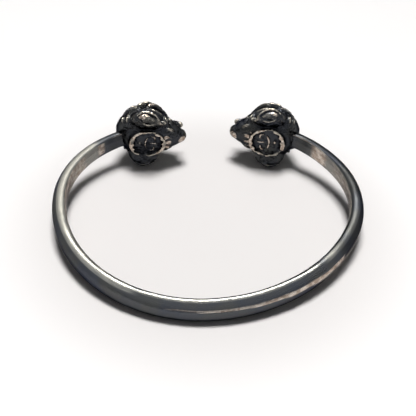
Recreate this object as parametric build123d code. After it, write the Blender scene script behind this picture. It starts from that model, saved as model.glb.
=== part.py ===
from build123d import *
import math
import os

os.makedirs("parts", exist_ok=True)

# An open silver bangle of folk and period type: one forged and cast piece, a D-shaped
# band that ends in two alike animal heads which face each other across an open gap.
# Sizes are in millimetres and angles in degrees. The wrist line is the middle of the
# band's flat inner face, followed from the middle of the front.

# The band's run along the wrist line: a wide front arc, a tight side arc and a back arc.
front_radius_right = 33.7
front_turn_right = 62.3
side_radius_right = 19.7
side_turn_right = 48.4
front_radius_left = 27.8
front_turn_left = 91.9
side_radius_left = 20.0
side_turn_left = 45.0
back_radius = 23.5

# The band's D section, at the front and where it enters a head.
band_height_front = 5.1
band_height_neck = 4.0
band_thickness_front = 3.35
band_thickness_neck = 2.4
band_corner_radius = 0.35
band_section_spacing = 6.0
neck_overlap = 3.2

# Where each head sits: how far along the wrist line the middle of its wrist face is,
# how far that face stands in from the band, and how the head turns from the band's run.
head_along_right = 72.95
head_along_left = 71.7
head_inset_right = 3.45
head_inset_left = 3.65
head_turn_right = 9.1
head_turn_left = 14.4
head_roll_right = 2.0
head_roll_left = 7.0
head_dip_right = 4.0
head_dip_left = 5.5

# The head's main form, measured from the middle of its wrist face.
nape_reach = 7.0
snout_reach = 8.9
head_depth = 11.4
head_width = 11.5

# The egg-shaped rim on the wrist face, wider at its two ends than at its sides, its sunk
# floor and the low motif on that floor.
rim_length = 8.3
rim_height = 8.3
rim_width_end = 0.95
rim_width_side = 0.5
rim_widest_share = 0.45
rim_floor = 0.8
motif_relief = 0.35
motif_width = 0.45

# The round nose, and the small nub that tapers forward from the snout over it.
nose_length = 2.9
nose_height = 3.0
nose_width = 3.2
nub_radius = 0.75
nub_tip_radius = 0.4
nub_reach = 2.6
nub_drop = 1.05

# The leaf-shaped ears, which stand out at both sides and open towards the wrist.
ear_length = 5.1
ear_height = 2.9
ear_rim_width = 0.28
ear_hollow_depth = 0.6
ear_swell_rise = 0.1
ear_stem_length = 4.4
ear_along = 0.0
ear_out = 0.75
ear_reach = 8.05
ear_turn = 30.0
ear_slope = 12.0

# The round wire of metal that the raised locks and folds are drawn with.
ridge_radius = 0.5

eye_length = 1.9
eye_height = 1.15

settling_rounds = 4
settling_tolerance = 0.1
settled_within = 0.03


def wrist_station(side, along):
    """Return the point and the heading of the wrist line, side +1 right or -1 left."""
    if side > 0:
        runs = [(front_radius_right, front_turn_right), (side_radius_right, side_turn_right)]
    else:
        runs = [(front_radius_left, front_turn_left), (side_radius_left, side_turn_left)]
    runs = runs + [(back_radius, 180.0)]
    x = 0.0
    y = 0.0
    heading = 0.0
    left = along
    for radius, turn in runs:
        step = min(left, radius * math.radians(turn))
        turned = step / radius
        x += radius * (math.sin(heading + turned) - math.sin(heading))
        y += radius * (math.cos(heading) - math.cos(heading + turned))
        heading += turned
        left -= step
    return Vector(side * x, y, 0), Vector(side * math.cos(heading), math.sin(heading), 0)


def outward(direction, side):
    """The level direction that leads away from the wrist."""
    return Vector(side * direction.Y, -side * direction.X, 0)


def band_section(side, along, neck_along):
    """The D section at one station, a wire of lines and arcs with its flat on the wrist line."""
    share = along / neck_along
    height = band_height_front + (band_height_neck - band_height_front) * share**2
    thickness = band_thickness_front + (band_thickness_neck - band_thickness_front) * share**2
    point, direction = wrist_station(side, along)
    out = outward(direction, side)
    half = height / 2
    corner = min(band_corner_radius, half * 0.5, thickness * 0.5)
    halfway = corner * (1 - math.cos(math.radians(45)))

    def at(outwards, up):
        return point + out * outwards + Vector(0, 0, up)

    flat = Line(at(0, corner - half), at(0, half - corner))
    top_corner = ThreePointArc(
        at(0, half - corner),
        at(halfway, half - halfway),
        at(corner, half),
    )
    face = ThreePointArc(at(corner, half), at(thickness, 0), at(corner, -half))
    low_corner = ThreePointArc(
        at(corner, -half),
        at(halfway, halfway - half),
        at(0, corner - half),
    )
    return Wire([flat, top_corner, face, low_corner])


def band():
    """The whole band, lofted from neck to neck."""
    rows = []
    for side, head_along in ((-1, head_along_left), (1, head_along_right)):
        neck = head_along - nape_reach + neck_overlap
        count = max(4, round(neck / band_section_spacing))
        stations = [(side, neck * step / count, neck) for step in range(count + 1)]
        rows += stations[:0:-1] if side < 0 else stations
    return Solid.make_loft([band_section(side, along, neck) for side, along, neck in rows])


# The head is made in its own axes: x to the muzzle, y outward to the crown, z to one
# side. Its origin is the middle of the rim, in the plane of the wrist face.
# Each row is one section across the head: how far along it stands, as a share of the
# reach to the nape or to the snout; the throat, the widest level and the crown as shares
# of the head's depth; and its half width as a share of half the head's width. The last
# section lies inside the round nose, which is the tip of the snout.
head_rows = [
    (-1.00, 0.32, 0.38, 0.46, 0.22),
    (-0.92, 0.23, 0.36, 0.55, 0.50),
    (-0.74, 0.14, 0.32, 0.67, 0.78),
    (-0.49, 0.07, 0.28, 0.83, 0.95),
    (-0.14, 0.03, 0.26, 0.94, 1.00),
    (0.17, 0.03, 0.25, 0.92, 0.92),
    (0.38, 0.04, 0.25, 0.82, 0.77),
    (0.56, 0.07, 0.26, 0.68, 0.57),
    (0.76, 0.12, 0.29, 0.54, 0.41),
    (0.88, 0.17, 0.29, 0.42, 0.25),
]


def along_head(share):
    return share * (snout_reach if share > 0 else nape_reach)


def head_form(share):
    """Throat, widest level, crown and half width at one place along the head."""
    for low, high in zip(head_rows, head_rows[1:]):
        if share <= high[0]:
            part = (share - low[0]) / (high[0] - low[0])
            throat, widest, crown, width = [a + (b - a) * part for a, b in zip(low[1:], high[1:])]
            break
    return throat * head_depth, widest * head_depth, crown * head_depth, width * head_width / 2


def on_head(share, around, side, lift=0.0):
    """A point of the head: its share along, and degrees round from the crown to the throat."""
    throat, widest, crown, half = head_form(share)
    up = math.cos(math.radians(around))
    across = math.sin(math.radians(around))
    height = crown - widest if up > 0 else widest - throat
    normal = Vector(0, up / height, side * across / half).normalized()
    return Vector(along_head(share), widest + height * up, side * half * across) + normal * lift


def half_oval(middle, half_across, half_out, to_crown):
    """Half an ellipse across the head, on the crown's side or the throat's."""
    plane = Plane(origin=middle, x_dir=(0, 0, -1 if to_crown else 1), z_dir=(1, 0, 0))
    return plane.from_local_coords(Edge.make_ellipse(half_across, half_out, start_angle=0, end_angle=180))


def head_body():
    """The skull and snout in one, lofted through their sections."""
    wires = []
    for share, throat, widest, crown, width in head_rows:
        middle = Vector(along_head(share), widest * head_depth, 0)
        half = width * head_width / 2
        over = half_oval(middle, half, (crown - widest) * head_depth, True)
        under = half_oval(middle, half, (widest - throat) * head_depth, False)
        wires.append(Wire([over, under]))
    return Solid.make_loft(wires)


def ridge(start, middle, end, radius):
    """A round wire of metal along one arc, its ends sunk in the head."""
    path = ThreePointArc(start, middle, end)
    section = Plane(origin=path @ 0, z_dir=path % 0) * Circle(radius)
    return sweep(section, path)


# The raised locks and folds: where each starts, bends and ends, as a share along the
# head and degrees round it, and its radius as a share of the ridge radius. Those off
# the middle are at both sides. Their ends are sunk and their middles stand by these shares.
ridge_sink = 0.9
ridge_stand = 0.25
side_ridges = {
    "brow": (-0.07, 56, 0.12, 42, 0.38, 38, 1.20),
    "temple fold": (-0.05, 64, 0.18, 69, 0.42, 71, 0.80),
    "snout fold front": (0.59, 84, 0.54, 68, 0.48, 52, 0.75),
    "snout fold back": (0.48, 88, 0.43, 78, 0.38, 64, 0.75),
    "cheek": (0.64, 118, 0.54, 112, 0.44, 120, 0.80),
    "poll knob": (-0.10, 48, -0.24, 52, -0.37, 54, 1.20),
    "poll lock": (-0.28, 66, -0.44, 60, -0.60, 60, 0.95),
    "mane front": (-0.36, 76, -0.43, 96, -0.44, 120, 1.05),
    "mane middle": (-0.56, 76, -0.63, 95, -0.60, 116, 0.95),
    "mane back": (-0.74, 74, -0.80, 92, -0.76, 110, 0.80),
    "forelock side": (0.28, 18, 0.02, 22, -0.24, 20, 1.10),
    "nape side": (-0.36, 28, -0.56, 32, -0.78, 30, 0.90),
    "beard side": (0.48, 154, 0.55, 152, 0.62, 153, 0.45),
}
middle_ridges = {
    "forelock middle": (0.30, 0, 0.02, 0, -0.26, 0, 1.30),
    "nape middle": (-0.36, 0, -0.58, 0, -0.80, 0, 1.10),
    "beard middle": (0.48, 180, 0.56, 180, 0.64, 180, 0.45),
}


def raised_work():
    """Every lock and fold of the head."""
    pieces = []
    for table, sides in ((side_ridges, (-1, 1)), (middle_ridges, (1,))):
        for share1, around1, share2, around2, share3, around3, thick in table.values():
            radius = thick * ridge_radius
            for side in sides:
                pieces.append(ridge(
                    on_head(share1, around1, side, -ridge_sink * radius),
                    on_head(share2, around2, side, ridge_stand * radius),
                    on_head(share3, around3, side, -ridge_sink * radius),
                    radius,
                ))
    return pieces


def egg_wire(end_inset, side_inset, out):
    """The rim's egg shape, drawn in by two insets: a short half at the nape, a long one ahead."""
    half_height = rim_height / 2 - side_inset
    back = rim_length * rim_widest_share - end_inset
    front = rim_length * (1 - rim_widest_share) - end_inset
    middle_along = rim_length * (rim_widest_share - 0.5)
    plane = Plane(origin=(middle_along, out, 0), x_dir=(0, 0, 1), z_dir=(0, 1, 0))
    ahead = Edge.make_ellipse(half_height, front, start_angle=0, end_angle=180)
    behind = Edge.make_ellipse(half_height, back, start_angle=180, end_angle=360)
    return Wire([plane.from_local_coords(ahead), plane.from_local_coords(behind)])


def rim_and_hollow():
    """The rim's body and the hollow that is cut in it."""
    body = Solid.extrude(Face(egg_wire(0, 0, 0)), Vector(0, 2 * rim_floor, 0))
    mouth = Face(egg_wire(rim_width_end, rim_width_side, -rim_floor))
    hollow = Solid.extrude(mouth, Vector(0, 2 * rim_floor, 0))
    return body, hollow


# The motif on the sunk floor, a small sprig: where each stroke starts, bends and ends,
# as shares of the floor's half length towards the muzzle and of its half height.
motif_strokes = {
    "stem": (0.18, 0.0, 0.42, 0.03, 0.66, 0.0),
    "arch": (-0.02, -0.52, -0.16, 0.0, -0.02, 0.52),
    "curl low": (0.16, -0.62, 0.42, -0.58, 0.48, -0.30),
    "curl high": (0.16, 0.62, 0.42, 0.58, 0.48, 0.30),
}
motif_bud_along = -0.55
motif_bud_share = 1.4


def motif():
    """The sprig's strokes, each half in the floor under it, and its bud."""
    half_length = rim_length / 2 - rim_width_end
    half_height = rim_height / 2 - rim_width_side
    radius = motif_width / 2
    level = rim_floor - motif_relief + radius

    def at(along, across):
        return Vector(along * half_length, level, across * half_height)

    pieces = [Pos(*at(motif_bud_along, 0)) * Sphere(motif_bud_share * radius)]
    for x1, z1, x2, z2, x3, z3 in motif_strokes.values():
        pieces.append(ridge(at(x1, z1), at(x2, z2), at(x3, z3), radius))
        pieces.append(Pos(*at(x1, z1)) * Sphere(radius))
        pieces.append(Pos(*at(x3, z3)) * Sphere(radius))
    return pieces


def leaf_wire(plane, length, height, out):
    """A leaf with a point ahead and a broad round end behind, at a level of the ear's plane."""

    def at(along, up):
        return plane.from_local_coords(Vector(along * length, up * height, out))

    return Wire([
        ThreePointArc(at(0.50, 0.0), at(0.16, 0.40), at(-0.22, 0.50)),
        ThreePointArc(at(-0.22, 0.50), at(-0.50, 0.0), at(-0.22, -0.50)),
        ThreePointArc(at(-0.22, -0.50), at(0.16, -0.40), at(0.50, 0.0)),
    ])


# The ear from its face down to its root in the head: depth as a share of the stem's
# length, and its length and height as shares of the face's.
ear_rows = [
    (0.00, 0.88, 0.86),
    (0.07, 0.99, 0.98),
    (0.32, 1.08, 1.04),
    (1.00, 1.55, 1.35),
]
# The swell in the ear's hollow, as a share of the hollow's length and height.
ear_swell_share = 0.86


def ear(side):
    """One ear, hollowed in its face, with the swell that fills the hollow's middle."""
    turn = math.radians(ear_turn)
    slope = math.radians(ear_slope)
    opening = Vector(0, -math.sin(turn), side * math.cos(turn))
    upper = Vector(0, math.cos(turn), side * math.sin(turn))
    ahead = Vector(1, 0, 0) * math.cos(slope) - upper * math.sin(slope)
    plane = Plane(origin=(ear_along, ear_out, side * ear_reach), x_dir=ahead, z_dir=opening)
    stem = Solid.make_loft([
        leaf_wire(plane, ear_length * length, ear_height * height, -depth * ear_stem_length)
        for depth, length, height in ear_rows
    ])
    inner_length = ear_rows[0][1] * ear_length - 2 * ear_rim_width
    inner_height = ear_rows[0][2] * ear_height - 2 * ear_rim_width
    floor = leaf_wire(plane, 0.8 * inner_length, 0.7 * inner_height, -ear_hollow_depth)
    mouth = leaf_wire(plane, inner_length, inner_height, 0)
    swell_size = (
        ear_swell_share * inner_length,
        ear_swell_share * inner_height,
        2 * (ear_hollow_depth + ear_swell_rise),
    )
    swell = scale(Sphere(0.5), by=swell_size)
    seat = Plane(origin=plane.origin - opening * ear_hollow_depth, x_dir=ahead, z_dir=opening)
    return stem - Solid.make_loft([mouth, floor]), seat.location * swell


# The eye's place on the head's form, and how far along the snout the nub starts.
eye_share = 0.33
eye_around = 96.0
nub_share = 0.56


def eyes_and_nose():
    """The almond eyes, the round nose and the nub that points forward over it."""
    pieces = []
    for side in (-1, 1):
        eye = scale(Sphere(0.5), by=(eye_length, eye_height, eye_height))
        pieces.append(Pos(*on_head(eye_share, eye_around, side, 0.1 * eye_height)) * eye)
    end_throat, _widest, end_crown, _half = head_form(head_rows[-1][0])
    nose = scale(Sphere(0.5), by=(nose_length, nose_height, nose_width))
    pieces.append(Pos(snout_reach - nose_length / 2, (end_throat + end_crown) / 2, 0) * nose)
    foot = on_head(nub_share, 0, 1, -nub_radius)
    tip = foot + Vector(nub_reach, -nub_drop, 0)
    seat = Plane(origin=foot, z_dir=tip - foot)
    pieces.append(Solid.make_cone(nub_radius, nub_tip_radius, (tip - foot).length, seat))
    pieces.append(Pos(*tip) * Sphere(nub_tip_radius))
    return pieces


def head():
    """One whole head, both sides alike."""
    body, hollow = rim_and_hollow()
    ears = [piece for side in (-1, 1) for piece in ear(side)]
    solid = head_body().fuse(body, *ears, *eyes_and_nose(), *raised_work())
    return (solid - hollow).fuse(*motif())


def placed_head(shape, side, along, inset, turn, roll, dip):
    """Set a head at its station: in from the wrist line, turned in, crown up, nose down."""
    point, direction = wrist_station(side, along)
    middle = point - outward(direction, side) * inset
    muzzle = direction.rotate(Axis.Z, side * turn)
    crown = outward(muzzle, side)
    up = Vector(0, 0, 1)
    tipped_crown = crown * math.cos(math.radians(roll)) + up * math.sin(math.radians(roll))
    tipped_up = up * math.cos(math.radians(roll)) - crown * math.sin(math.radians(roll))
    dipped = muzzle * math.cos(math.radians(dip)) - tipped_up * math.sin(math.radians(dip))
    seat = Plane(origin=middle, x_dir=dipped, z_dir=dipped.cross(tipped_crown))
    return shape.moved(seat.location)


def bracelet():
    """The band with its two heads, in one solid."""
    shape = head()
    right_seat = (head_along_right, head_inset_right, head_turn_right, head_roll_right, head_dip_right)
    left_seat = (head_along_left, head_inset_left, head_turn_left, head_roll_left, head_dip_left)
    right = placed_head(shape, 1, *right_seat)
    left = placed_head(shape, -1, *left_seat)
    return band().fuse(right, left)


def settled(solid):
    """Lay the bracelet on its three lowest places and centre it on the floor."""
    halfway = solid.bounding_box().center().Y
    for _ in range(settling_rounds):
        points, _triangles = solid.tessellate(settling_tolerance)
        front = min((p for p in points if p.Y < halfway), key=lambda p: p.Z)
        right = min((p for p in points if p.Y > halfway and p.X > 0), key=lambda p: p.Z)
        left = min((p for p in points if p.Y > halfway and p.X < 0), key=lambda p: p.Z)
        normal = (right - front).cross(left - front).normalized()
        tilt = math.degrees(math.acos(min(1.0, normal.Z)))
        if tilt < settled_within:
            break
        hinge = Axis(front, normal.cross(Vector(0, 0, 1)))
        solid = solid.rotate(hinge, tilt)
    box = solid.bounding_box()
    middle = box.center()
    return Pos(-middle.X, -middle.Y, -box.min.Z) * solid


result = settled(bracelet())
result.label = "bracelet"
export_step(result, "parts/bracelet.step")
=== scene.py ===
import math

import bpy
import numpy as np
from mathutils import Matrix, Vector, noise


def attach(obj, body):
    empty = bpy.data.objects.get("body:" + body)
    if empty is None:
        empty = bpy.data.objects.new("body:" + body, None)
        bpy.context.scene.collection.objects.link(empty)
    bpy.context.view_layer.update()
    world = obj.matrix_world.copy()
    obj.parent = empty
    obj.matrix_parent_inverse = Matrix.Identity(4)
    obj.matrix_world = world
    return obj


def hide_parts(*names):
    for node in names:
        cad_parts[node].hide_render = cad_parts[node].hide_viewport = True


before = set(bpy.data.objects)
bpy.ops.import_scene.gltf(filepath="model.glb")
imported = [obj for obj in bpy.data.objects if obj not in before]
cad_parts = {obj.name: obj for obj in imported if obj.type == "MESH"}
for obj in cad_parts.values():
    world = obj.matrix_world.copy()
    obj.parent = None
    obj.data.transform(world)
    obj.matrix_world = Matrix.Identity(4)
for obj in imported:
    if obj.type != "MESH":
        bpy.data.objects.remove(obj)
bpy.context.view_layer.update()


# The band is one forged bar of silver, D-shaped in section: flat and crisp on the wrist
# side, rounded outside. It is bent by hand into an open oval, so it is a little uneven,
# and both its ends run into the cast heads. Sizes are in millimetres until it is placed.
mm = 0.001

# The wrist line bends in three runs from the middle of the front, on the right (1) and on
# the left (-1), the last alike on both: each one's radius, and how many degrees it turns.
# The band ends at the necks, so far along that line.
front_run = {1: (33.7, 62.3), -1: (27.8, 91.9)}
side_run = {1: (19.7, 48.4), -1: (20.0, 45.0)}
back_run = (23.5, 180.0)
neck_along = {1: 69.1, -1: 67.9}

# Its height and thickness at the middle of the front and at the heads.
band_height = (5.1, 4.0)
band_thickness = (3.35, 2.4)

# Wear has rounded its inner edges, most at the sides and least beside the heads: how far
# along the band (negative on the left), and the edge's radius there.
corner_rows = [
    (-66, 0.4), (-54, 0.7), (-36, 1.2), (-22, 1.2), (-8, 0.8),
    (16, 0.8), (28, 1.25), (48, 1.2), (60, 0.4),
]
station_spacing = 0.25
flat_points = 8
corner_points = 8
round_points = 20

# The cuff lies on its front and on one ear of each head, which lifts its back.
lie_tilt = 6.990
lie_axis = (0.99405, -0.10891, 0.0)
lie_shift = (-2.1101, -26.0459, 2.6952)
lie = Matrix.Translation(lie_shift) @ Matrix.Rotation(math.radians(lie_tilt), 4, lie_axis)


def wrist_station(side, along):
    """The point and heading of the band's wrist line, side +1 right or -1 left."""
    x = 0.0
    y = 0.0
    heading = 0.0
    left = along
    for radius, turn in (front_run[side], side_run[side], back_run):
        step = min(left, radius * math.radians(turn))
        turned = step / radius
        x += radius * (math.sin(heading + turned) - math.sin(heading))
        y += radius * (math.cos(heading) - math.cos(heading + turned))
        heading += turned
        left -= step
    return Vector((side * x, y, 0)), Vector((side * math.cos(heading), math.sin(heading), 0))


def outward(direction, side):
    """The level direction that leads away from the wrist."""
    return Vector((side * direction.y, -side * direction.x, 0))


def curve(middle, half_out, half_up, start, end, count):
    """Points on an elliptical arc in the section, without its last one."""
    turns = np.radians(start + (end - start) * np.arange(count) / count)
    return [(middle[0] + half_out * math.cos(a), middle[1] + half_up * math.sin(a)) for a in turns]


def band_outline(height, thickness, corner):
    """The D section as points (out, up), round from the middle of its flat inner face."""
    half = height / 2
    upper = [(0.0, (half - corner) * i / flat_points) for i in range(flat_points)]
    upper += curve((corner, half - corner), corner, corner, 180, 90, corner_points)
    upper += curve((corner, 0), thickness - corner, half, 90, 0, round_points)
    lower = [(out, -up) for out, up in upper[:0:-1]]
    return upper + [(thickness, 0.0)] + lower


def soft_step(value, low, high):
    """0 below low and 1 above high, with a smooth run between."""
    share = np.clip((value - low) / (high - low), 0, 1)
    return share * share * (3 - 2 * share)


def band_points():
    """The band's rings of points, and for each point its side, along, out and up."""
    total = neck_along[1] + neck_along[-1]
    count = round(total / station_spacing)
    points = []
    places = []
    for step in range(count + 1):
        signed = -neck_along[-1] + total * step / count
        side = 1 if signed > 0 else -1
        along = abs(signed)
        share = (along / neck_along[side]) ** 2
        height = band_height[0] + (band_height[1] - band_height[0]) * share
        thickness = band_thickness[0] + (band_thickness[1] - band_thickness[0]) * share
        middle, direction = wrist_station(side, along)
        out_way = outward(direction, side)
        corner = np.interp(signed, *zip(*corner_rows))
        for out, up in band_outline(height, thickness, corner):
            points.append(middle + out_way * out + Vector((0, 0, up)))
            places.append((signed, out / thickness, 2 * up / height))
    return points, np.array(places)


# The hammer has left long shallow dents, all of them into the metal.
forged_dent = 0.065
forged_length = 4.0
small_dent = 0.028
small_length = 1.1


def forged(points, middles):
    """Draw each point a little into the bar, by amounts that change slowly along it."""
    moved = []
    for point, middle in zip(points, middles):
        large = 0.5 + 0.5 * noise.noise(point / forged_length)
        small = 0.5 + 0.5 * noise.noise(point / small_length)
        inwards = (middle - point).normalized()
        moved.append(point + inwards * (forged_dent * large + small_dent * small))
    return moved


def put_in_scene(name, points, faces, marks):
    """A smooth piece in metres, its points given in millimetres as they lie, with its marks."""
    mesh = bpy.data.meshes.new(name)
    mesh.from_pydata(points, [], faces)
    mesh.update()
    mesh.shade_smooth()
    for mark, values in marks.items():
        layer = mesh.attributes.new(mark, "FLOAT", "POINT")
        layer.data.foreach_set("value", np.asarray(values, dtype=np.float32))
    mesh.transform(Matrix.Scale(mm, 4))
    piece = bpy.data.objects.new(name, mesh)
    bpy.context.scene.collection.objects.link(piece)
    return piece


# Where the dark skin is worn off to bare metal, where it is only rubbed lighter, where
# handling has left it dull and rougher, and where shade is painted. The bare and rubbed rows
# on the right's lower outer face paint a reflection of the lit floor. In each row: from and to
# along the band (negative on the left); from and to up its height, and out from its inner
# face, both as shares; and how much.
bare_and_reflection_rows = [
    (-8.0, 2.0, 0.58, 0.64, 0.74, 1.10, 0.42),
    (-2.0, 10.0, 0.53, 0.63, 0.74, 1.10, 0.55),
    (8.0, 17.0, 0.47, 0.60, 0.78, 1.10, 0.76),
    (15.0, 23.0, 0.34, 0.54, 0.80, 1.10, 0.88),
    (21.0, 30.0, 0.14, 0.44, 0.80, 1.10, 0.84),
    (57.6, 62.8, -0.75, 0.85, -0.1, 0.03, 0.62),
    (-62.3, -59.9, -0.60, 0.85, -0.1, 0.03, 0.52),
    (-57.0, -34.0, -1.00, 1.00, -0.1, 0.03, 0.48),
    (36.0, 57.0, -1.00, 1.00, -0.1, 0.03, 0.40),
    # Painted reflection of the lit floor on the right's lower outer face.
    (27.0, 42.0, -0.60, 0.12, 0.72, 1.10, 0.48),
]
rubbed_and_reflection_rows = [
    (-60.0, -30.0, -1.00, 1.00, -0.1, 0.03, 0.90),
    (-60.0, -14.0, 0.70, 1.10, 0.12, 0.62, 0.85),
    (-14.0, 24.0, 0.80, 1.10, 0.20, 0.42, 0.35),
    (30.0, 62.0, -1.00, 1.00, -0.1, 0.03, 0.95),
    (26.0, 44.0, 0.80, 1.10, 0.25, 0.60, 0.45),
    # Painted reflection of the lit floor on the right's lower outer face.
    (24.0, 40.0, -0.70, 0.10, 0.70, 1.10, 0.60),
]
matte_rows = [
    (-66.0, -33.0, 0.30, 1.10, -0.10, 1.10, 0.34),
    (-36.0, -18.0, 0.30, 1.10, -0.10, 1.10, 0.14),
    (25.0, 66.0, 0.30, 1.10, -0.10, 1.10, 0.28),
]
# Painted shade on the right side's top, which darkens it and dims the highlight it mirrors.
shade_rows = [
    (29.0, 66.0, 0.20, 1.10, -0.10, 1.10, 1.00),
]
fade_along = 2.5
fade_up = 0.10
fade_out = 0.08

# The last stretch before each head is drawn darker. The inner top and bottom edges are
# rubbed bare near the heads, and elsewhere are painted dark, a painted reflection of the
# dark room. Each pair is the run in which that comes or goes: along the band, up its height
# or out from its inner face.
neck_dark_along = (61.0, 64.0)
rubbed_edge_along = (38.0, 50.0)
rubbed_edge_up = (0.88, 0.95)
rubbed_edge_out = (0.03, 0.09)
rubbed_edge_bare = 0.8
dark_edge_along = (34.0, 44.0)
dark_edge_up = (0.80, 0.93)
dark_edge_out = (0.10, 0.22)

# How raised the finish takes each place to be, a half being level: the tarnish lies deep
# in what is sunk, and is rubbed lighter on what is raised. On the band, the painted dark
# reflection on the inner edges, the painted shade on the right side's top and the darker
# last stretch before each head lower it.
raised_plain = 0.53
raised_rubbed = 0.3
# How much darker the painted dark reflection on the inner edges makes them.
dark_reflection_depth = 0.13
neck_darkening = 0.07
shade_depth = 0.10


def soft_end(value, low, high):
    """1 below low and 0 above high, with a smooth run between."""
    return soft_step(-value, -high, -low)


def wear(places, rows):
    """How far the rows' wear reaches at each point of the band, from 0 to 1."""
    signed, out, up = places.T
    wear_and_painted_light = np.zeros(len(places))
    for start, end, low, high, near_in, far_out, amount in rows:
        fade = min(fade_along, (end - start) / 3)
        there = soft_step(signed, start - fade, start + fade) * soft_end(signed, end - fade, end + fade)
        there *= soft_step(up, low - fade_up, low) * soft_end(up, high, high + fade_up)
        there *= soft_step(out, near_in - fade_out, near_in) * soft_end(out, far_out, far_out + fade_out)
        wear_and_painted_light = np.maximum(wear_and_painted_light, amount * there)
    return wear_and_painted_light


def neck_dark(places):
    """The last stretch before each head, drawn darker."""
    return soft_step(np.abs(places[:, 0]), *neck_dark_along)


def edge_wear(places):
    """The inner top and bottom edges, bare near the heads where clothes rub them."""
    signed, out, up = places.T
    edge = soft_step(np.abs(up), *rubbed_edge_up) * soft_end(out, *rubbed_edge_out)
    return rubbed_edge_bare * edge * soft_step(np.abs(signed), *rubbed_edge_along)


def edge_dark_reflection(places):
    """The same edges away from the heads, painted dark as a reflection of the dark room."""
    signed, out, up = places.T
    edge = soft_step(np.abs(up), *dark_edge_up) * soft_end(out, *dark_edge_out)
    return edge * soft_end(np.abs(signed), *dark_edge_along)


def band_marks(places):
    """What the finish needs at each point: how bare, with a painted reflection on the right's lower outer
    face; how raised, less painted shade; how dull; and how far along.
    """
    # Painted dark reflection on the inner edges and painted shade on the right side's top lower the
    # raised value.
    raised = raised_plain + raised_rubbed * wear(places, rubbed_and_reflection_rows) - dark_reflection_depth * edge_dark_reflection(places)
    raised -= np.maximum(neck_darkening * neck_dark(places), shade_depth * wear(places, shade_rows))
    return {
        "wear_and_painted_light": np.maximum(wear(places, bare_and_reflection_rows), edge_wear(places)),
        "raised": raised,
        "matte": wear(places, matte_rows),
        "run": places[:, 0],
    }


def mixed(nodes, links, share, dark, light):
    """A node that mixes two colours by a share; each may be a socket or a plain colour."""
    mix = nodes.new("ShaderNodeMix")
    mix.data_type = "RGBA"
    links.new(share, mix.inputs["Factor"])
    for socket, colour in ((mix.inputs["A"], dark), (mix.inputs["B"], light)):
        if isinstance(colour, tuple):
            socket.default_value = (*colour, 1)
        else:
            links.new(colour, socket)
    return mix.outputs["Result"]


def reckoned(nodes, links, operation, first, second):
    """A math node on two values, its result kept from 0 to 1; each may be a socket or a number."""
    node = nodes.new("ShaderNodeMath")
    node.operation = operation
    node.use_clamp = True
    for socket, value in zip(node.inputs, (first, second)):
        if isinstance(value, (int, float)):
            socket.default_value = value
        else:
            links.new(value, socket)
    return node.outputs[0]


def ranged(nodes, links, value, low, high, start=0.0, end=1.0):
    """A node that carries a value from one range to another, smoothly."""
    node = nodes.new("ShaderNodeMapRange")
    node.interpolation_type = "SMOOTHSTEP"
    links.new(value, node.inputs["Value"])
    for name, number in (("From Min", low), ("From Max", high), ("To Min", start), ("To Max", end)):
        node.inputs[name].default_value = number
    return node.outputs["Result"]


def clouded(nodes, links, place, scale, detail, stretch=(1, 1, 1)):
    """Noise over a place, in patches as long as the scale says, per metre."""
    mapping = nodes.new("ShaderNodeMapping")
    mapping.inputs["Scale"].default_value = stretch
    links.new(place, mapping.inputs["Vector"])
    cloud = nodes.new("ShaderNodeTexNoise")
    cloud.inputs["Scale"].default_value = scale
    cloud.inputs["Detail"].default_value = detail
    links.new(mapping.outputs["Vector"], cloud.inputs["Vector"])
    return cloud.outputs["Fac"]


# The colours of the tarnish and of the silver under it, the size of the patches in which
# the tarnish changes (so many to a metre), and how much scratches and stains tell.
tarnish_blue = (0.071, 0.077, 0.091)
tarnish_green = (0.088, 0.090, 0.088)
# The deepest tarnish, also used as the colour of painted shade.
deep_tarnish_and_shade = (0.010, 0.011, 0.014)
bare_silver = (0.84, 0.74, 0.64)
stained_silver = (0.44, 0.34, 0.27)
edge_tint = (0.30, 0.30, 0.32, 1)
tint_patches = 160.0
scratch_breaks = 0.9
stain_height = 0.5
scratch_depth = 0.00004
scratch_strength = 0.35

# Each of these has the low and the high end of what is read, and after them, where it isn't
# 0 to 1, what that is carried to.
tint_range = (0.35, 0.65)
hollow_and_shade_range = (0.36, 0.51)
uneven_range = (0.30, 0.58, 0.35, 1.0)
stain_range = (0.42, 0.60)
broken_range = (0.75, 1.15)
hardly_worn_range = (0.02, 0.3)
uneven_rough = (0.3, 0.7, 0.16, 0.26)
scratch_rough = (0.55, 0.75, 0.0, 0.12)

# The drawn-out band and the cast heads differ in how dark the tarnish is, in the colour of
# their rubbed high places, in how raised those are, in how fine the stains are (so many to
# a metre), and in the grain: long scratches on the band, fine specks on the heads.
finishes = {
    "drawn": {"darkness": 0.0, "rubbed": (0.30, 0.295, 0.27), "high": (0.54, 0.72), "stains": 900.0},
    "cast": {"darkness": 0.45, "rubbed": (0.50, 0.46, 0.39), "high": (0.58, 0.78), "stains": 1800.0},
}
drawn_grain = (0.35, 14.0, 1.0)
cast_grain = 3200.0


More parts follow.
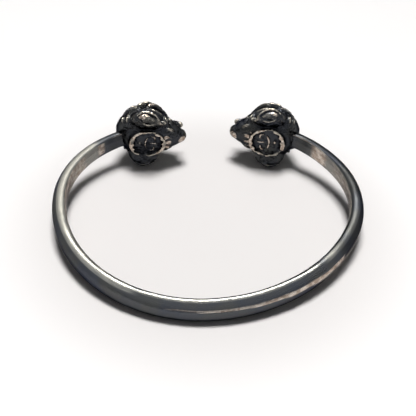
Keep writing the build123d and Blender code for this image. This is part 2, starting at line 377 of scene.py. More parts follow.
def aged_silver(name, making):
    """Silver under a dark tarnish: bare where it wears and where highlights and reflections are painted,
    deeper in its hollows and where shade is painted, scratched.
    """
    finish = finishes[making]
    drawn_out = making == "drawn"
    blue = tuple(level * (1 - finish["darkness"]) for level in tarnish_blue)
    green = tuple(level * (1 - finish["darkness"]) for level in tarnish_green)
    material = bpy.data.materials.new(name)
    material.use_nodes = True
    nodes = material.node_tree.nodes
    links = material.node_tree.links
    shader = nodes["Principled BSDF"]
    place = nodes.new("ShaderNodeTexCoord").outputs["Object"]
    marks = {}
    for mark in ("wear_and_painted_light", "raised", "matte", "run", "girth"):
        attribute = nodes.new("ShaderNodeAttribute")
        attribute.attribute_name = mark
        marks[mark] = attribute.outputs["Fac"]
    if drawn_out:
        grain = nodes.new("ShaderNodeCombineXYZ")
        links.new(marks["run"], grain.inputs["X"])
        links.new(marks["girth"], grain.inputs["Y"])
        scratch = clouded(nodes, links, grain.outputs["Vector"], 1.0, detail=4.0, stretch=drawn_grain)
    else:
        scratch = clouded(nodes, links, place, cast_grain, detail=4.0)
    tint = ranged(nodes, links, clouded(nodes, links, place, tint_patches, detail=3.0), *tint_range)
    mottle = clouded(nodes, links, place, finish["stains"], detail=5.0)
    tarnish = mixed(nodes, links, tint, blue, green)
    # Deep tarnish in the hollows, and painted shade where the marks are lowered.
    hollow = ranged(nodes, links, marks["raised"], *hollow_and_shade_range)
    tarnish = mixed(nodes, links, hollow, deep_tarnish_and_shade, tarnish)
    high = ranged(nodes, links, marks["raised"], *finish["high"])
    uneven = scratch if drawn_out else mottle
    high = reckoned(nodes, links, "MULTIPLY", high, ranged(nodes, links, uneven, *uneven_range))
    metal = mixed(nodes, links, high, tarnish, finish["rubbed"])
    stain = ranged(nodes, links, mottle, *stain_range)
    bare = mixed(nodes, links, stain, stained_silver, bare_silver)
    breaks = reckoned(nodes, links, "MULTIPLY", scratch, scratch_breaks)
    broken = reckoned(nodes, links, "ADD", marks["wear_and_painted_light"], breaks)
    broken = ranged(nodes, links, broken, *broken_range)
    wear_and_painted_light = ranged(nodes, links, marks["wear_and_painted_light"], *hardly_worn_range)
    broken = reckoned(nodes, links, "MULTIPLY", broken, wear_and_painted_light)
    links.new(mixed(nodes, links, broken, metal, bare), shader.inputs["Base Color"])
    rough = ranged(nodes, links, uneven, *uneven_rough)
    rough = reckoned(nodes, links, "ADD", rough, ranged(nodes, links, scratch, *scratch_rough))
    rough = reckoned(nodes, links, "ADD", rough, marks["matte"])
    links.new(rough, shader.inputs["Roughness"])
    shader.inputs["Metallic"].default_value = 1.0
    shader.inputs["Specular Tint"].default_value = edge_tint
    height = reckoned(nodes, links, "MULTIPLY", mottle, stain_height)
    height = reckoned(nodes, links, "ADD", height, scratch)
    bump = nodes.new("ShaderNodeBump")
    bump.inputs["Strength"].default_value = scratch_strength
    bump.inputs["Distance"].default_value = scratch_depth
    links.new(height, bump.inputs["Height"])
    links.new(bump.outputs["Normal"], shader.inputs["Normal"])
    return material


ring_points, ring_places = band_points()
front_outline = np.array(band_outline(band_height[0], band_thickness[0], corner_rows[0][1]))
per_ring = len(front_outline)
rings = len(ring_points) // per_ring
ring_middles = []
for ring in range(rings):
    own = ring_points[ring * per_ring:(ring + 1) * per_ring]
    ring_middles += [sum(own, Vector()) / per_ring] * per_ring
band_faces = [tuple(range(per_ring))[::-1], tuple(range((rings - 1) * per_ring, rings * per_ring))]
for ring in range(rings - 1):
    for i in range(per_ring):
        j = (i + 1) % per_ring
        start = ring * per_ring
        band_faces.append((start + i, start + j, start + per_ring + j, start + per_ring + i))
girth = np.cumsum(np.linalg.norm(np.diff(front_outline, axis=0, prepend=front_outline[:1]), axis=1))
laid_points = [tuple(lie @ point) for point in forged(ring_points, ring_middles)]
marks = band_marks(ring_places) | {"girth": np.tile(girth, rings)}
band = put_in_scene("band", laid_points, band_faces, marks)
band.data.materials.append(aged_silver("drawn_silver", "drawn"))
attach(band, "root")
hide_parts("bracelet")


# Each head is a silver casting, a skull and snout in one, joined at its nape to the band's
# end without a seam and then cut with tools. It is modelled in its own axes, x to the
# muzzle, y outward to the crown and z across, from the middle of its wrist face.
nape_reach = 7.0
snout_reach = 8.9
head_depth = 11.4
head_width = 11.5

# One row for each section across the head: its share of the reach to the nape or to the
# snout; throat, widest level and crown as shares of the depth; half width as a share.
head_rows = np.array([
    (-1.00, 0.32, 0.38, 0.46, 0.22),
    (-0.92, 0.23, 0.36, 0.55, 0.50),
    (-0.74, 0.14, 0.32, 0.67, 0.78),
    (-0.49, 0.07, 0.28, 0.83, 0.95),
    (-0.14, 0.03, 0.26, 0.94, 1.00),
    (0.17, 0.03, 0.25, 0.92, 0.92),
    (0.38, 0.04, 0.25, 0.82, 0.77),
    (0.56, 0.07, 0.26, 0.68, 0.57),
    (0.76, 0.12, 0.29, 0.54, 0.41),
    (0.88, 0.17, 0.29, 0.42, 0.25),
])
snout_end = head_rows[-1, 0]
skull_room = 6.5

# The heads are worked out on a fine grid that holds, at each point, the distance to the
# metal's surface, below zero inside. Forms are melted together or cut there, and the
# surface is then drawn through it.
grid_step = 0.12
grid_low = np.array([-8.2, -1.5, -10.2])
grid_high = np.array([10.0, 12.6, 10.2])
grid_size = np.ceil((grid_high - grid_low) / grid_step).astype(int) + 1
grid_margin = 0.6
far = 5.0


def near(low, high):
    """The part of the grid about a box, and the places of its points."""
    start = np.clip(np.floor((low - grid_margin - grid_low) / grid_step).astype(int), 0, grid_size - 2)
    end = np.clip(np.ceil((high + grid_margin - grid_low) / grid_step).astype(int), start + 2, grid_size)
    axes = [grid_low[i] + grid_step * np.arange(start[i], end[i]) for i in range(3)]
    part = tuple(slice(a, b) for a, b in zip(start, end))
    return part, np.stack(np.meshgrid(*axes, indexing="ij"), axis=-1)


def melted(first, second, soft):
    """Both forms in one, with a soft seam where they meet."""
    share = np.clip(0.5 + 0.5 * (second - first) / soft, 0, 1)
    return second + (first - second) * share - soft * share * (1 - share)


def add(field, part, distance, soft=0.15):
    """Melt a form into the grid."""
    field[part] = melted(field[part], distance, soft)


def cut(field, part, distance, soft=0.10):
    """Cut a form out of the grid."""
    field[part] = -melted(-field[part], distance, soft)


def along_rows(rows, share):
    """The table's other columns at a share of its first, on smooth curves through its rows."""
    at = rows[:, 0]
    slopes = np.gradient(rows[:, 1:], at, axis=0)
    share = np.clip(share, at[0], at[-1])
    i = np.clip(np.searchsorted(at, share) - 1, 0, len(at) - 2)
    step = at[i + 1] - at[i]
    t = (share - at[i]) / step
    parts = (
        (rows[i, 1:].T, (1 + 2 * t) * (1 - t) ** 2),
        (slopes[i].T, t * (1 - t) ** 2 * step),
        (rows[i + 1, 1:].T, t * t * (3 - 2 * t)),
        (slopes[i + 1].T, t * t * (t - 1) * step),
    )
    return sum(columns * weight for columns, weight in parts)


def head_form(share):
    """Throat, widest level, crown and half width at a share along the head."""
    throat, widest, crown, width = along_rows(head_rows, share)
    return throat * head_depth, widest * head_depth, crown * head_depth, width * head_width / 2


def along_head(share):
    """Millimetres along the head, from a share of its reach to the snout or to the nape."""
    return share * (snout_reach if share > 0 else nape_reach)


def on_head(share, around, side, lift=0.0):
    """A point of the head: its share along, and degrees round from the crown to the throat."""
    throat, widest, crown, half = head_form(share)
    up = math.cos(math.radians(around))
    across = math.sin(math.radians(around))
    height = crown - widest if up > 0 else widest - throat
    normal = np.array([0, up / height, side * across / half])
    normal /= np.linalg.norm(normal)
    return np.array([along_head(share), widest + height * up, side * half * across]) + normal * lift


def skull():
    """The whole grid, with the skull and snout in it."""
    field = np.full(grid_size, far)
    end = snout_end * snout_reach
    part, points = near(np.array([-nape_reach, 0, -skull_room]), np.array([end, head_depth, skull_room]))
    x = points[:, 0, 0, 0]
    reach = np.where(x > 0, snout_reach, nape_reach)
    throat, widest, crown, half = [v[:, None, None] for v in head_form(x / reach)]
    rise = points[..., 1] - widest
    height = np.where(rise > 0, crown - widest, widest - throat)
    across = points[..., 2]
    size = np.sqrt((rise / height) ** 2 + (across / half) ** 2) + 1e-6
    distance = np.sqrt(rise**2 + across**2) * (1 - 1 / size)
    ends = np.maximum(x - end, -nape_reach - x)[:, None, None]
    field[part] = np.maximum(distance, ends)
    return field


# On the wrist face stands an egg-shaped rim, worn bright, round a sunk floor with a small
# raised sprig. The smith widened the rim at the muzzle and at the nape with a graver.
rim_length = 8.3
rim_height = 8.3
rim_width_end = 0.95
rim_width_side = 0.5
rim_widest_share = 0.45
rim_floor = 0.8
hollow_slope = 0.35

# The sprig's strokes: along and up of the start, the middle and the end of each, as shares
# of the floor's half length and half height.
motif_relief = 0.35
motif_width = 0.45
motif_strokes = {
    "stem": (0.18, 0.0, 0.42, 0.03, 0.66, 0.0),
    "arch": (-0.02, -0.52, -0.16, 0.0, -0.02, 0.52),
    "curl low": (0.16, -0.62, 0.42, -0.58, 0.48, -0.30),
    "curl high": (0.16, 0.62, 0.42, 0.58, 0.48, 0.30),
}
motif_bud_along = -0.55
motif_bud_share = 1.4
motif_bud_half = 0.2
motif_taper = np.array([0.7, 0.9, 1, 1.1, 1.1, 1.1, 1, 0.9, 0.7])

# The graver's strokes across the muzzle's end of the rim: degrees round it to each side,
# where each starts and ends as shares of the rim's half length, and its radii there.
fringe_angles = (8.0, 22.0, 36.0, 50.0)
fringe_reach = (0.84, 1.12)
fringe_radii = (0.07, 0.17)

# The rim's width round it: degrees from the muzzle (0) to the nape (180), and how wide.
rim_round = [
    (0, 0.75), (25, 0.65), (45, 0.38), (70, 0.20),
    (110, 0.20), (135, 0.42), (155, 0.80), (180, 0.92),
]
rim_waver = 0.20
rim_waver_turns = 7
rim_waver_skew = 2


def egg(points, inset):
    """Distance from the rim's egg outline, drawn in by an inset."""
    x = points[..., 0] - rim_length * (rim_widest_share - 0.5)
    z = points[..., 2]
    half = np.where(x > 0, rim_length * (1 - rim_widest_share), rim_length * rim_widest_share) - inset
    size = np.sqrt((x / half) ** 2 + (z / (rim_height / 2 - inset)) ** 2) + 1e-6
    return np.sqrt(x**2 + z**2) * (1 - 1 / size)


def bent(start, middle, end, count=9):
    """Points on one even bend through three places."""
    t = np.linspace(0, 1, count)[:, None]
    return start * (1 - t) * (1 - 2 * t) + middle * 4 * t * (1 - t) + end * t * (2 * t - 1)


def rod(points, line, radii):
    """Distance from a round rod along a line of points, as thick as its radii say."""
    nearest = np.full(points.shape[:-1], far)
    for a, b, thick, next_thick in zip(line, line[1:], radii, radii[1:]):
        run = b - a
        t = np.clip((points - a) @ run / (run @ run), 0, 1)
        gap = np.linalg.norm(points - a - t[..., None] * run, axis=-1)
        nearest = np.minimum(nearest, gap - thick - (next_thick - thick) * t)
    return nearest


def add_rod(field, line, radii, soft=0.15):
    thick = max(radii)
    part, points = near(line.min(axis=0) - thick, line.max(axis=0) + thick)
    add(field, part, rod(points, line, radii), soft)


def cut_rod(field, line, radii, soft=0.10):
    thick = max(radii)
    part, points = near(line.min(axis=0) - thick, line.max(axis=0) + thick)
    cut(field, part, rod(points, line, radii), soft)


def add_rim(field):
    """The rim, the hollow in it and the sprig on the hollow's floor."""
    half = np.array([rim_length / 2, 0, rim_height / 2])
    part, points = near(-half, half + np.array([0, 2 * rim_floor, 0]))
    level = points[..., 1]
    slab = np.maximum(-level, level - 2 * rim_floor)
    body = -melted(-egg(points, 0), -slab, 0.25)
    add(field, part, body, 0.20)
    turn = np.degrees(np.arctan2(np.abs(points[..., 2]), points[..., 0]))
    angles, widths = zip(*rim_round)
    waver = np.sin(np.radians(turn) * rim_waver_turns + rim_waver_skew * points[..., 2])
    inset = np.interp(turn, angles, widths) + rim_waver * waver
    slope = hollow_slope * np.clip(level, 0, rim_floor)
    hollow = np.maximum(egg(points, 0) + inset + slope, level - rim_floor)
    cut(field, part, hollow, 0.12)
    for angle in fringe_angles:
        for turned_up in (-1, 1):
            way = np.array([math.cos(math.radians(angle)), 0, turned_up * math.sin(math.radians(angle))])
            line = np.array([way * reach * rim_length / 2 for reach in fringe_reach])
            cut_rod(field, line, fringe_radii, 0.05)
    half_length = rim_length / 2 - rim_width_end
    half_height = rim_height / 2 - rim_width_side
    radius = motif_width / 2
    for x1, z1, x2, z2, x3, z3 in motif_strokes.values():
        places = [
            np.array([x * half_length, rim_floor - motif_relief + radius, z * half_height])
            for x, z in ((x1, z1), (x2, z2), (x3, z3))
        ]
        add_rod(field, bent(*places), radius * motif_taper, 0.08)
    bud_along = motif_bud_along * half_length
    bud = np.array([[bud_along, rim_floor, -motif_bud_half], [bud_along, rim_floor, motif_bud_half]])
    add_rod(field, bud, [motif_bud_share * radius] * 2, 0.08)


# Two leaf-shaped ears stand out at the sides and open towards the wrist. Each is cast
# with the head: a domed root, a leaf outlined by a groove with a swell in it, a heavy
# fold above and a thin lip below.
ear_length = 5.1
ear_height = 2.9
ear_room = 0.75
ear_dome = 0.85
ear_dome_limit = 1.6
ear_inset = 0.30
ear_groove_width = 0.34
ear_groove_depth = 0.45
ear_edge_round = 0.9
ear_stem_length = 4.4
ear_along = -0.4
ear_out = 0.75
ear_reach = {1: 8.15, -1: 8.20}
ear_turn = 30.0
ear_slope = 12.0

# The ear's stem, from its face (0) to its root (1): how far back, and how long and how high
# it is there, as shares of the ear.
ear_rows = np.array([
    (0.00, 0.52, 0.66),
    (0.14, 0.86, 0.92),
    (0.36, 1.16, 1.06),
    (1.00, 1.60, 1.35),
])

# The swell on its face, as shares of the ear's length and height, and millimetres out.
ear_swell_middle = (-0.10, 0.03, -0.95)
ear_swell_half = (0.33, 0.28, 0.85)

# The fold and the lip: places as shares of the ear's length and height and how far out of
# its face, and how thick.
ear_cords = {
    "upper fold": [
        (-0.50, 0.06, -0.95, 0.14), (-0.32, 0.40, -0.62, 0.26), (-0.04, 0.52, -0.66, 0.30),
        (0.26, 0.40, -0.80, 0.24), (0.50, 0.10, -1.15, 0.14),
    ],
    "lower lip": [
        (-0.40, -0.20, -0.98, 0.10), (-0.20, -0.42, -0.82, 0.17), (0.06, -0.46, -0.78, 0.19),
        (0.34, -0.28, -1.02, 0.10),
    ],
}
leaf_back = -0.22
leaf_shoulder = (0.16, 0.40)


def leaf(points_along, points_up):
    """Distance from a leaf one long and one high, its point ahead and its round end behind."""
    ahead = bent(np.array([0.5, 0.0]), np.array(leaf_shoulder), np.array([leaf_back, 0.5]), 11)
    turns = np.radians(np.linspace(90, 270, 17))[1:-1]
    behind = np.stack([leaf_back + (0.5 + leaf_back) * np.cos(turns), 0.5 * np.sin(turns)], axis=1)
    outline = np.concatenate([ahead, behind, ahead[::-1] * (1, -1)])
    outline = outline[:-1]
    runs = np.roll(outline, -1, axis=0) - outline
    normals = np.stack([runs[:, 1], -runs[:, 0]], axis=1)
    normals /= np.linalg.norm(normals, axis=1)[:, None]
    offsets = (normals * outline).sum(axis=1)
    nearest = np.full(points_along.shape, -far)
    for (a, b), offset in zip(normals, offsets):
        nearest = np.maximum(nearest, a * points_along + b * points_up - offset)
    return nearest


def add_ear(field, side):
    """One ear: stem and leaf, groove, swell, fold and lip."""
    turn = math.radians(ear_turn)
    slope = math.radians(ear_slope)
    opening = np.array([0, -math.sin(turn), side * math.cos(turn)])
    upper = np.array([0, math.cos(turn), side * math.sin(turn)])
    ahead = np.array([math.cos(slope), 0, 0]) - upper * math.sin(slope)
    upper = np.cross(opening, ahead) * side
    middle = np.array([ear_along, ear_out, side * ear_reach[side]])
    root = middle - opening * ear_stem_length
    room = ear_room * ear_length
    part, points = near(np.minimum(middle, root) - room, np.maximum(middle, root) + room)
    u = (points - middle) @ ahead
    v = (points - middle) @ upper
    w = (points - middle) @ opening
    lengths, heights = along_rows(ear_rows, np.clip(-w / ear_stem_length, 0, 1).ravel())
    lengths = lengths.reshape(w.shape) * ear_length
    heights = heights.reshape(w.shape) * ear_height
    edge = leaf(u / lengths, v / heights) * heights
    dome = (2 * u / ear_length) ** 2 + (2 * v / ear_height) ** 2
    front = w + ear_dome * np.clip(dome, 0, ear_dome_limit)
    ends = np.maximum(front, -ear_stem_length - w)
    add(field, part, -melted(-edge, -ends, ear_edge_round), 0.35)
    inner = leaf(u / ear_length, v / ear_height) * ear_height + ear_inset
    groove = np.maximum(np.abs(inner) - ear_groove_width / 2, -front - ear_groove_depth)
    cut(field, part, groove, 0.08)
    wholes = (ear_length, ear_height, 1)
    size = np.sqrt(sum(
        ((place - share * whole) / (half * whole)) ** 2
        for place, share, half, whole in zip((u, v, w), ear_swell_middle, ear_swell_half, wholes)
    ))
    add(field, part, (size - 1) * ear_swell_half[1] * ear_height, 0.10)
    for cord in ear_cords.values():
        cord = np.array(cord)
        line = middle + cord[:, :1] * ear_length * ahead + cord[:, 1:2] * ear_height * upper
        line = line + cord[:, 2:3] * opening
        add_rod(field, line, cord[:, 3], 0.10)


# The eyes, the nose and the nub on it are cast with the head, and the smith has sharpened
# them with a punch. The nub leans forward over the nose.
eye_share = 0.33
eye_around = 96.0
eye_size = np.array([1.9, 1.15, 1.15])
nose_size = np.array([2.9, 3.0, 3.2])
nub_share = 0.56
nub_radius = 0.95
nub_tip_radius = 0.72
nub_reach = 2.6
nub_drop = 0.30


def add_ball(field, middle, size, soft=0.15):
    part, points = near(middle - size / 2, middle + size / 2)
    away = (points - middle) / (size / 2)
    add(field, part, (np.linalg.norm(away, axis=-1) - 1) * size.min() / 2, soft)


def add_face(field):
    """The eyes, the nose and the nub on it."""
    for side in (-1, 1):
        add_ball(field, on_head(eye_share, eye_around, side, 0.1 * eye_size[1]), eye_size, 0.10)
    throat, _widest, crown, _half = head_form(snout_end)
    nose = np.array([snout_reach - nose_size[0] / 2, (throat + crown) / 2, 0])
    add_ball(field, nose, nose_size, 0.25)
    foot = on_head(nub_share, 0, 1, -nub_radius)
    tip = foot + np.array([nub_reach, -nub_drop, 0])
    add_rod(field, np.array([foot, tip]), [nub_radius, nub_tip_radius], 0.12)


# The locks, folds and brows are round cords of metal raised from the head: where each
# starts, bends and ends, as a share along and degrees round, and how thick it is. Those
# off the middle are at both sides, and each lock is split in strands by a graver.
ridge_radius = 0.5
ridge_sink = 0.9
ridge_stand = 0.25
folds = {
    "brow": (-0.03, 56, 0.18, 41, 0.46, 36, 1.20),
    "temple fold": (-0.05, 64, 0.18, 69, 0.42, 71, 0.80),
    "snout fold front": (0.59, 84, 0.54, 68, 0.48, 52, 0.75),
    "snout fold back": (0.48, 88, 0.43, 78, 0.38, 64, 0.75),
    "cheek": (0.64, 118, 0.54, 112, 0.44, 120, 0.80),
    "poll knob": (-0.10, 48, -0.24, 52, -0.37, 54, 1.20),
    "beard side": (0.48, 154, 0.55, 152, 0.62, 153, 0.45),
}
locks = {
    "poll lock": (-0.28, 66, -0.44, 60, -0.60, 60, 0.95),
    "mane front": (-0.34, 70, -0.42, 92, -0.40, 122, 0.80),
    "mane second": (-0.47, 72, -0.54, 96, -0.56, 120, 0.70),
    "mane middle": (-0.60, 70, -0.68, 92, -0.64, 116, 0.75),
    "mane back": (-0.76, 74, -0.82, 92, -0.78, 110, 0.70),
    "forelock side": (0.22, 24, 0.00, 30, -0.26, 27, 1.30),
    "nape side": (-0.36, 28, -0.56, 32, -0.78, 30, 0.90),
}
middle_folds = {
    "forelock middle": (0.30, 0, 0.02, 0, -0.26, 0, 1.00),
    "nape middle": (-0.36, 0, -0.58, 0, -0.80, 0, 1.00),
    "beard middle": (0.48, 180, 0.56, 180, 0.64, 180, 0.45),
}
strand_groove = 0.14


def raise_fold(field, row, side):
    """Melt one cord into the head, its ends sunk and its middle standing up."""
    share1, around1, share2, around2, share3, around3, thick = row
    radius = thick * ridge_radius
    line = bent(
        on_head(share1, around1, side, -ridge_sink * radius),
        on_head(share2, around2, side, ridge_stand * radius),
        on_head(share3, around3, side, -ridge_sink * radius),
    )
    add_rod(field, line, [radius] * len(line), 0.12)


def split_lock(field, row, side):
    """Cut one fine groove along the top of a lock."""
    share1, around1, share2, around2, share3, around3, thick = row
    radius = thick * ridge_radius
    line = bent(
        on_head(share1, around1, side, 0.0),
        on_head(share2, around2, side, (1 + ridge_stand) * radius),
        on_head(share3, around3, side, 0.0),
    )
    cut_rod(field, line, [strand_groove] * len(line), 0.06)


def add_folds(field):
    """All the cords, and the grooves in the locks."""
    for row in middle_folds.values():
        raise_fold(field, row, 1)
    for row in list(folds.values()) + list(locks.values()):
        for side in (-1, 1):
            raise_fold(field, row, side)
    for row in locks.values():
        for side in (-1, 1):
            split_lock(field, row, side)


# The two heads come from one mould. Each is set on its end of the band: in from the wrist
# line, turned towards the gap, and rolled and dipped a little as it was joined.
head_along = {1: 72.95, -1: 71.7}
head_inset = {1: 3.45, -1: 3.65}
head_turn = {1: 9.1, -1: 14.4}
head_roll = {1: 2.0, -1: 7.0}
head_dip = {1: 4.0, -1: 5.5}

# Each rim has a chip knocked out of it, and the castings are finely pitted. The three
# reaches are in steps of the grid: of a pit, of the metal round a point that tells how
# raised it is, and of a patch of wear.
chipped = {1: (-3.1, 0.1, 2.5), -1: (-1.2, 0.1, -4.3)}
chip_size = np.array([2.2, 0.9, 1.6])
pit_depth = 0.06
pit_reach = 1
raised_reach = 4
patch_reach = 3

# The rim is rubbed bright in patches where it is raised. Each pair is where the wear starts
# or ends: how deep below the wrist face, how far in from the outline, and how raised.
rim_level = (0.12, 0.45)
rim_inside = (-0.25, 0.0)
rim_raised = (0.42, 0.52)
rim_bare = 0.66
rim_patchy = 0.24
rim_least_bare = 0.15

# On the side of the rim that faces down, less of it is bare and it is darker: degrees round
# from the muzzle to its middle, how far to each side of that, and how far in from the outline.
rim_dulled = {1: 0.15, -1: 0.65}
dulled_middle = 100
dulled_angles = (35, 60)
dulled_inside = (-0.6, -0.2)
dulled_darkening = 0.12

# Bare strokes of the graver fan out over the muzzle's end of the rim, so many to each half
# round, on the high part of a wave.
rim_strokes = 9.0
stroke_wave = (-0.5, 0.4)
stroke_angles = (24, 42)
stroke_start = (-1.5, -0.6)
stroke_end = (-0.1, 0.2)
stroke_level = (0.9, 1.3)
stroke_bare = 0.9

# The sprig is rubbed on its top, and the head's lower side, towards the floor, is darkened with painted
# shade.
sprig_wear = {1: 0.85, -1: 0.45}
sprig_level = (0.48, 0.66)
sprig_inside = (rim_width_side, 1.4)
sprig_raised = (0.49, 0.55)
lower_side = (4.0, 6.0)
lower_side_shade = 0.10

# Where the raised metal is bright: the muzzle is rubbed bare by touch, and the places on
# the ears, the crown and the nape are painted highlights. In each row: its middle along the
# head, out from the wrist face and across; its reach along and the other ways; how raised
# the metal must be there; and how much of it takes the bare colour.
touched_and_highlights = {
    1: {
        "muzzle": (8.0, 1.9, 0.0, 1.3, 1.3, 0.30, 0.75),
        "ear fold": (-0.5, 2.3, -7.7, 2.6, 1.2, 0.53, 0.68),
        "ear swell": (-1.4, 1.4, -7.8, 1.2, 0.8, 0.50, 0.60),
    },
    -1: {
        "muzzle": (8.0, 1.9, 0.0, 1.3, 1.3, 0.30, 0.75),
        "ear swell": (-1.3, 1.4, 7.8, 1.7, 0.9, 0.50, 0.62),
        "ear fold": (0.2, 2.3, 7.9, 1.6, 0.8, 0.58, 0.45),
        "crown": (0.0, 8.2, 3.8, 2.4, 1.6, 0.53, 0.66),
        "nape": (-3.0, 7.6, 3.8, 1.5, 1.7, 0.52, 0.66),
    },
}

# Each of these places fades out between these shares of its reach.
patch_fades_over = (0.6, 1.0)
patch_soft = 0.08


def blurred(field, reach, rounds=3):
    """The field averaged over its neighbours, a few times."""
    for _ in range(rounds):
        for axis in range(3):
            total = np.cumsum(field, axis=axis)
            total = np.insert(total, 0, 0, axis=axis)
            length = field.shape[axis]
            low = np.clip(np.arange(length) - reach, 0, length)
            high = np.clip(np.arange(length) + reach + 1, 0, length)
            weights_shape = [1, 1, 1]
            weights_shape[axis] = length
            counts = (high - low).reshape(weights_shape)
            field = (np.take(total, high, axis=axis) - np.take(total, low, axis=axis)) / counts
    return field


def skin(field):
    """The metal's surface: one point in each cell that it crosses, one face on each crossed edge."""
    cells = np.array(field.shape) - 1
    strides = np.array([cells[1] * cells[2], cells[2], 1])
    sums = np.zeros((cells.prod(), 3))
    counts = np.zeros(cells.prod())
    crossings = []
    for axis in range(3):
        first = np.take(field, range(cells[axis]), axis=axis)
        second = np.take(field, range(1, cells[axis] + 1), axis=axis)
        at = np.argwhere((first < 0) != (second < 0))
        a = first[tuple(at.T)]
        b = second[tuple(at.T)]
        places = at.astype(float)
        places[:, axis] += a / (a - b)
        steps = [np.eye(3, dtype=int)[(axis + 1) % 3], np.eye(3, dtype=int)[(axis + 2) % 3]]
        corners = [at - steps[0] - steps[1], at - steps[1], at, at - steps[0]]
        ids = np.stack([corner @ strides for corner in corners], axis=1)
        crossings.append(np.where((a < 0)[:, None], ids, ids[:, ::-1]))
        for column in ids.T:
            counts += np.bincount(column, minlength=len(counts))
            for i in range(3):
                sums[:, i] += np.bincount(column, places[:, i], minlength=len(counts))
    used = np.flatnonzero(counts)
    number = np.full(len(counts), -1)
    number[used] = np.arange(len(used))
    points = grid_low + grid_step * sums[used] / counts[used, None]
    return points, number[np.concatenate(crossings)]


def eased(points, faces, rounds=2, share=0.5):
    """Move each point part of the way to the middle of its neighbours."""
    for _ in range(rounds):
        sums = np.zeros_like(points)
        counts = np.zeros(len(points))
        for corner in range(4):
            here = faces[:, corner]
            following = faces[:, (corner + 1) % 4]
            counts += np.bincount(here, minlength=len(points))
            for i in range(3):
                sums[:, i] += np.bincount(here, points[following, i], minlength=len(points))
        points = points + share * (sums / counts[:, None] - points)
    return points


def head_seat(side):
    """Where a head stands, from its own axes to the cuff as it lies."""
    point, direction = wrist_station(side, head_along[side])
    middle = point - outward(direction, side) * head_inset[side]
    muzzle = Matrix.Rotation(math.radians(side * head_turn[side]), 3, "Z") @ direction
    crown = outward(muzzle, side)
    roll = math.radians(head_roll[side])
    dip = math.radians(head_dip[side])
    up = Vector((0, 0, 1))
    tipped_crown = crown * math.cos(roll) + up * math.sin(roll)
    tipped_up = up * math.cos(roll) - crown * math.sin(roll)
    dipped = muzzle * math.cos(dip) - tipped_up * math.sin(dip)
    across = dipped.cross(tipped_crown).normalized()
    crown = across.cross(dipped)
    turned = Matrix((dipped, crown, across)).transposed().to_4x4()
    return lie @ Matrix.Translation(middle) @ turned


def cast_form(side):
    """The whole head on the grid, with its chip and its casting pits."""
    field = skull()
    add_rim(field)
    for ear_side in (-1, 1):
        add_ear(field, ear_side)
    add_face(field)
    add_folds(field)
    chip = np.array(chipped[side])
    part, places = near(chip - chip_size, chip + chip_size)
    away = np.linalg.norm((places - chip) / (chip_size / 2), axis=-1)
    cut(field, part, (away - 1) * chip_size.min() / 2, 0.10)
    grain = blurred(np.random.default_rng(11 + side).standard_normal(grid_size), pit_reach, 2)
    grain /= grain.std()
    return field + pit_depth * np.clip(grain, 0, 2)


def cast_head(name, side):
    """A whole head in its place on the cuff, marked with where it is raised and worn, and where
    highlights and shade are painted.
    """
    field = cast_form(side)
    filled = blurred(np.clip(0.5 - field / grid_step, 0, 1), raised_reach)
    points, faces = skin(field)
    points = eased(points, faces)
    cell = np.clip(((points - grid_low) / grid_step + 0.5).astype(int), 0, grid_size - 1)
    raised = 1 - filled[tuple(cell.T)]
    level = points[:, 1]
    inside = -egg(points, 0)
    rim = soft_end(level, *rim_level) * soft_step(inside, *rim_inside) * soft_step(raised, *rim_raised)
    patchy = blurred(np.random.default_rng(21 + side).standard_normal(grid_size), patch_reach, 2)
    patchy = patchy[tuple(cell.T)] / patchy.std()
    rim *= np.clip(rim_bare + rim_patchy * patchy, rim_least_bare, 1)
    turn = np.degrees(np.arctan2(points[:, 2], points[:, 0]))
    below = soft_end(np.abs(side * turn - dulled_middle), *dulled_angles)
    below *= soft_step(inside, *dulled_inside)
    rim *= 1 - rim_dulled[side] * below
    raised -= dulled_darkening * rim_dulled[side] * below
    strokes = soft_step(np.sin(np.radians(turn) * rim_strokes * 2), *stroke_wave)
    strokes *= soft_end(np.abs(turn), *stroke_angles)
    reached = soft_step(inside, *stroke_start) * soft_end(level, *stroke_level)
    strokes *= reached * soft_end(inside, *stroke_end)
    rim = np.maximum(rim, stroke_bare * strokes)
    sprig = soft_end(level, *sprig_level) * soft_step(inside, *sprig_inside)
    sprig *= soft_step(raised, *sprig_raised)
    wear_and_painted_light = np.maximum(rim, sprig_wear[side] * sprig)
    # The rubbed muzzle, and the painted highlights on the ears, the crown and the nape.
    for x, y, z, reach_along, reach_across, least, amount in touched_and_highlights[side].values():
        away = (points - (x, y, z)) / (reach_along, reach_across, reach_across)
        there = soft_end(np.linalg.norm(away, axis=1), *patch_fades_over)
        wear_and_painted_light = np.maximum(wear_and_painted_light, amount * there * soft_step(raised, least, least + patch_soft))
    # Painted shade on the head's lower side, towards the floor.
    raised -= lower_side_shade * soft_step(side * points[:, 2], *lower_side)
    seat = np.array(head_seat(side))
    laid = points @ seat[:3, :3].T + seat[:3, 3]
    piece = put_in_scene(name, laid.tolist(), faces.tolist(), {"wear_and_painted_light": wear_and_painted_light, "raised": raised})
    piece.data.materials.append(cast_silver)
    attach(piece, "root")
    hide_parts("bracelet")


cast_silver = aged_silver("cast_silver", "cast")
cast_head("head_right", 1)
cast_head("head_left", -1)


# The floor is a plain pale sheet that the cuff lies on. Its colour is painted darker and
# warmer inside the cuff than round it: painted shade inside, painted light round it. The
# change is between two distances from the cuff's middle.
floor_half = 0.8
floor_near = (0.80, 0.785, 0.775)
floor_far = (0.985, 0.98, 0.975)
floor_pale_from = 0.028
floor_pale_to = 0.052

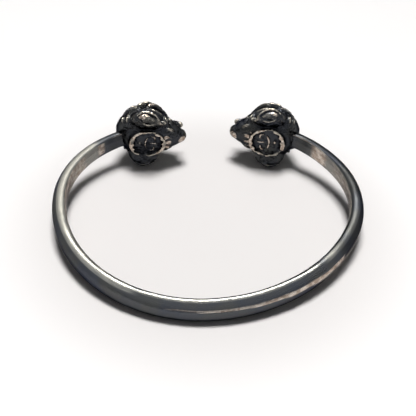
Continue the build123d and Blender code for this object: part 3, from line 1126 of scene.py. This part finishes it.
floor_mesh = bpy.data.meshes.new("floor")
floor_corners = [(x * floor_half, y * floor_half, 0) for x, y in ((-1, -1), (1, -1), (1, 1), (-1, 1))]
floor_mesh.from_pydata(floor_corners, [], [(0, 1, 2, 3)])
floor = bpy.data.objects.new("floor", floor_mesh)
bpy.context.scene.collection.objects.link(floor)
floor_paint = bpy.data.materials.new("floor_paint")
floor_paint.use_nodes = True
floor_shader = floor_paint.node_tree.nodes["Principled BSDF"]
floor_nodes = floor_paint.node_tree.nodes
floor_links = floor_paint.node_tree.links
floor_place = floor_nodes.new("ShaderNodeTexCoord").outputs["Object"]
floor_away = floor_nodes.new("ShaderNodeVectorMath")
floor_away.operation = "LENGTH"
floor_links.new(floor_place, floor_away.inputs[0])
floor_pale = ranged(floor_nodes, floor_links, floor_away.outputs["Value"], floor_pale_from, floor_pale_to)
floor_colour = mixed(floor_nodes, floor_links, floor_pale, floor_near, floor_far)
floor_links.new(floor_colour, floor_shader.inputs["Base Color"])
floor_shader.inputs["Roughness"].default_value = 0.8
floor_shader.inputs["Specular IOR Level"].default_value = 0.2
floor_mesh.materials.append(floor_paint)


# Light, in a pale room: a soft box overhead for the floor and its shadows, and a broad weak
# one in front. Two more stand behind and above, and only the metal mirrors them: a strong
# one, and a weaker one to its left.
box_distance = 0.6


def soft_box(name, towards, size, radiance, tint, mirrored):
    """A rectangular lamp that faces the cuff, and is either mirrored or lights the floor."""
    lamp = bpy.data.lights.new(name, "AREA")
    lamp.shape = "RECTANGLE"
    lamp.size, lamp.size_y = size
    lamp.energy = radiance * math.pi * size[0] * size[1]
    lamp.color = tint
    holder = bpy.data.objects.new(name, lamp)
    way = Vector(towards).normalized()
    holder.location = way * box_distance
    holder.rotation_euler = way.to_track_quat("Z", "Y").to_euler()
    holder.visible_glossy = mirrored
    holder.visible_diffuse = not mirrored
    bpy.context.scene.collection.objects.link(holder)


soft_box(
    "ceiling", towards=(0.0, -0.01, 1.0), size=(0.17, 0.17),
    radiance=42.0, tint=(1.0, 0.985, 0.98), mirrored=False,
)
soft_box(
    "bounce", towards=(0.0, -0.8, 1.0), size=(1.0, 0.6),
    radiance=0.14, tint=(1.0, 0.99, 1.0), mirrored=False,
)
soft_box(
    "window", towards=(0.04, 0.50, 0.865), size=(0.24, 0.14),
    radiance=27.0, tint=(1.0, 0.97, 0.90), mirrored=True,
)
soft_box(
    "side_window", towards=(-0.28, 0.74, 0.61), size=(0.28, 0.28),
    radiance=2.0, tint=(1.0, 0.98, 0.94), mirrored=True,
)

# The room is brighter overhead than at the horizon.
room_colour = (0.97, 0.98, 1.0, 1)
room_low = 0.50
room_high = 0.85
room_high_up = 0.9

world = bpy.data.worlds.new("room")
world.use_nodes = True
room_nodes = world.node_tree.nodes
room_links = world.node_tree.links
room_up = room_nodes.new("ShaderNodeSeparateXYZ")
room_links.new(room_nodes.new("ShaderNodeTexCoord").outputs["Generated"], room_up.inputs[0])
room_light = ranged(room_nodes, room_links, room_up.outputs["Z"], 0.0, room_high_up, room_low, room_high)
room_links.new(room_light, room_nodes["Background"].inputs["Strength"])
room_nodes["Background"].inputs["Color"].default_value = room_colour
bpy.context.scene.world = world
world.cycles_visibility.diffuse = False
bpy.context.scene.view_settings.view_transform = "Standard"


# The camera stands where the photographer's did: in front, some 40 degrees above the floor
# and a little to the left, and turned slightly about its own line of sight.
camera_target = Vector((-0.466, -3.696, 8.0)) * mm
camera_distance = 0.18569
camera_azimuth = -5.032
camera_elevation = 40.108
camera_roll = 2.738
camera_lens = 77.84

camera_data = bpy.data.cameras.new("camera")
camera_data.lens = camera_lens
camera_data.sensor_width = 36.0
camera_data.clip_start = 0.01
azimuth = math.radians(camera_azimuth)
elevation = math.radians(camera_elevation)
away = Vector((
    math.sin(azimuth) * math.cos(elevation),
    -math.cos(azimuth) * math.cos(elevation),
    math.sin(elevation),
))
camera = bpy.data.objects.new("camera", camera_data)
aim = away.to_track_quat("Z", "Y").to_matrix().to_4x4()
turned = aim @ Matrix.Rotation(math.radians(camera_roll), 4, "Z")
camera.matrix_world = Matrix.Translation(camera_target + away * camera_distance) @ turned
bpy.context.scene.collection.objects.link(camera)
bpy.context.scene.camera = camera
